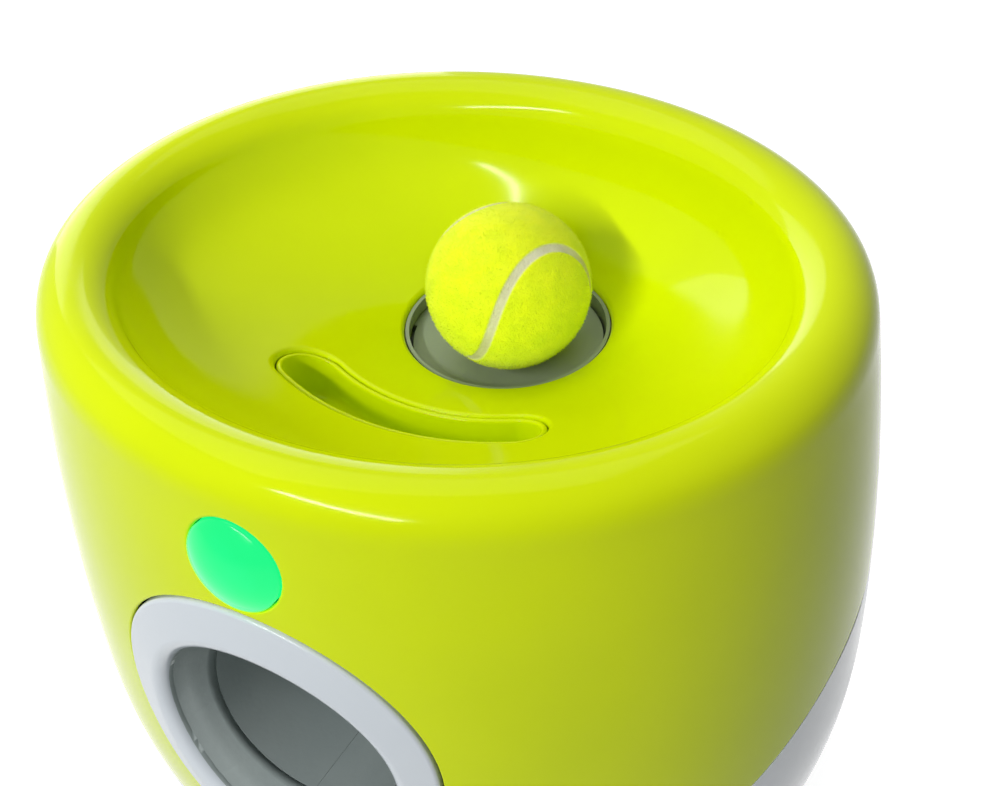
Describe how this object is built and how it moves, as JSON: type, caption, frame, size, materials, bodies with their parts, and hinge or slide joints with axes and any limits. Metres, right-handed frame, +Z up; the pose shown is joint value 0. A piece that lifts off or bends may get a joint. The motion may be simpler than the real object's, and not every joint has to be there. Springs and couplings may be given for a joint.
{
  "type": "automatic dog ball launcher",
  "caption": "Oval drum that throws balls for a dog: a bowl on top feeds a gate and a sprung barrel, with a ready light over the outlet and a finger slot.",
  "frame": {"origin": "on the floor under the middle of the oval casing", "axes": "+Z up; the ball leaves towards -Y; +X is the launcher's own left, along the oval's long side"},
  "size_m": [0.257, 0.2301, 0.23],
  "materials": {
    "lime_shell": "gloss lime plastic",
    "white_shell": "gloss white plastic",
    "grey_plastic": "moulded grey plastic",
    "barrel_plastic": "smooth grey plastic",
    "black_plastic": "fine grain black plastic",
    "gear_plastic": "natural acetal",
    "green_lens": "clear tinted, lit from behind",
    "steel": "bright steel",
    "brass": "machined brass",
    "motor_can": "zinc plated steel",
    "circuit_board": "green solder mask",
    "black_rubber": "soft black rubber",
    "battery_sleeve": "dark printed sleeve, bare of any print",
    "felt": "short yellow-green felt"
  },
  "bodies": {
    "casing": {"top_cover": "lime_shell", "base_shell": "white_shell", "outlet_bezel": "white_shell", "handle_pocket": "lime_shell", "ready_lens": "green_lens", "lens_board": "circuit_board", "throat_tube": "grey_plastic", "gate_servo": "black_plastic", "lever_pin": "steel", "ball_switch": "black_plastic", "barrel_left": "barrel_plastic", "barrel_right": "barrel_plastic", "breech_cap": "barrel_plastic", "drive_motor": "motor_can", "gear_shafts": "steel", "frame_left": "black_plastic", "frame_right": "black_plastic", "frame_spacers": "steel", "battery_tray": "black_plastic", "battery_cells": "battery_sleeve", "battery_contacts": "steel", "rubber_feet": "black_rubber", "main_board": "circuit_board", "board_parts": "black_plastic", "speaker": "black_plastic", "control_panel": "black_plastic", "control_board": "circuit_board", "indicator_lenses": "green_lens", "power_inlet": "black_plastic", "cover_screws": "steel", "barrel_screws": "steel", "frame_screws": "steel", "motor_screws": "steel", "board_screws": "steel", "throat_screws": "steel"},
    "cocking_wheel": {"cocking_gear": "gear_plastic"},
    "plunger_unit": {"plunger": "gear_plastic", "plunger_pad": "black_rubber", "plunger_spring": "steel"},
    "idler_wheel": {"idler_gear": "gear_plastic"},
    "pinion": {"motor_pinion": "brass"},
    "gate": {"feed_gate": "grey_plastic"},
    "lever": {"ball_lever": "black_plastic"},
    "power_key": {"power_button": "grey_plastic"},
    "range_key": {"range_button": "grey_plastic"},
    "door": {"battery_door": "white_shell"},
    "ball": {"tennis_ball": "felt"}
  },
  "joints": [
    {"name": "cocking_turn", "type": "hinge", "parent": "casing", "child": "cocking_wheel", "pos_m": [0, 0.05666, 0.04324], "axis": [-1, 0, 0], "range_deg": [0, 46.6]},
    {"name": "plunger_slide", "type": "slide", "parent": "casing", "child": "plunger_unit", "axis": [0, 0.9903, -0.1392], "range_m": [0, 0.022], "stiffness_N_per_m": 10, "springref_m": -0.02, "deforming": ["plunger_spring"]},
    {"name": "idler_turn", "type": "hinge", "parent": "casing", "child": "idler_wheel", "pos_m": [0, 0.0193, 0.03997], "axis": [-1, 0, 0], "range_deg": [-129, 0]},
    {"name": "pinion_turn", "type": "hinge", "parent": "casing", "child": "pinion", "pos_m": [0, -0.00701, 0.04955], "axis": [-1, 0, 0], "range_deg": [0, 321]},
    {"name": "gate_turn", "type": "hinge", "parent": "casing", "child": "gate", "pos_m": [-0.05, 0.033, 0.169], "axis": [0, 0, -1], "range_deg": [0, 80]},
    {"name": "lever_swing", "type": "hinge", "parent": "casing", "child": "lever", "pos_m": [0, 0.072, 0.16], "axis": [1, 0, 0], "range_deg": [0, 30], "stiffness_Nm_per_rad": 0.02},
    {"name": "power_press", "type": "slide", "parent": "casing", "child": "power_key", "axis": [0, -1, 0], "range_m": [0, 0.001], "stiffness_N_per_m": 800},
    {"name": "range_press", "type": "slide", "parent": "casing", "child": "range_key", "axis": [0, -1, 0], "range_m": [0, 0.001], "stiffness_N_per_m": 800},
    {"name": "door_drop", "type": "slide", "parent": "casing", "child": "door", "axis": [0, 0, -1], "range_m": [0, 0.03]},
    {"name": "ball_lift", "type": "slide", "parent": "casing", "child": "ball", "axis": [0, 0, 1], "range_m": [0, 0.08]}
  ],
  "couplings": [
    {"joint": "plunger_slide", "follows": "cocking_turn", "m_per_rad": 0.027},
    {"joint": "idler_turn", "follows": "cocking_turn", "ratio": -2.75},
    {"joint": "pinion_turn", "follows": "cocking_turn", "ratio": 6.875}
  ]
}
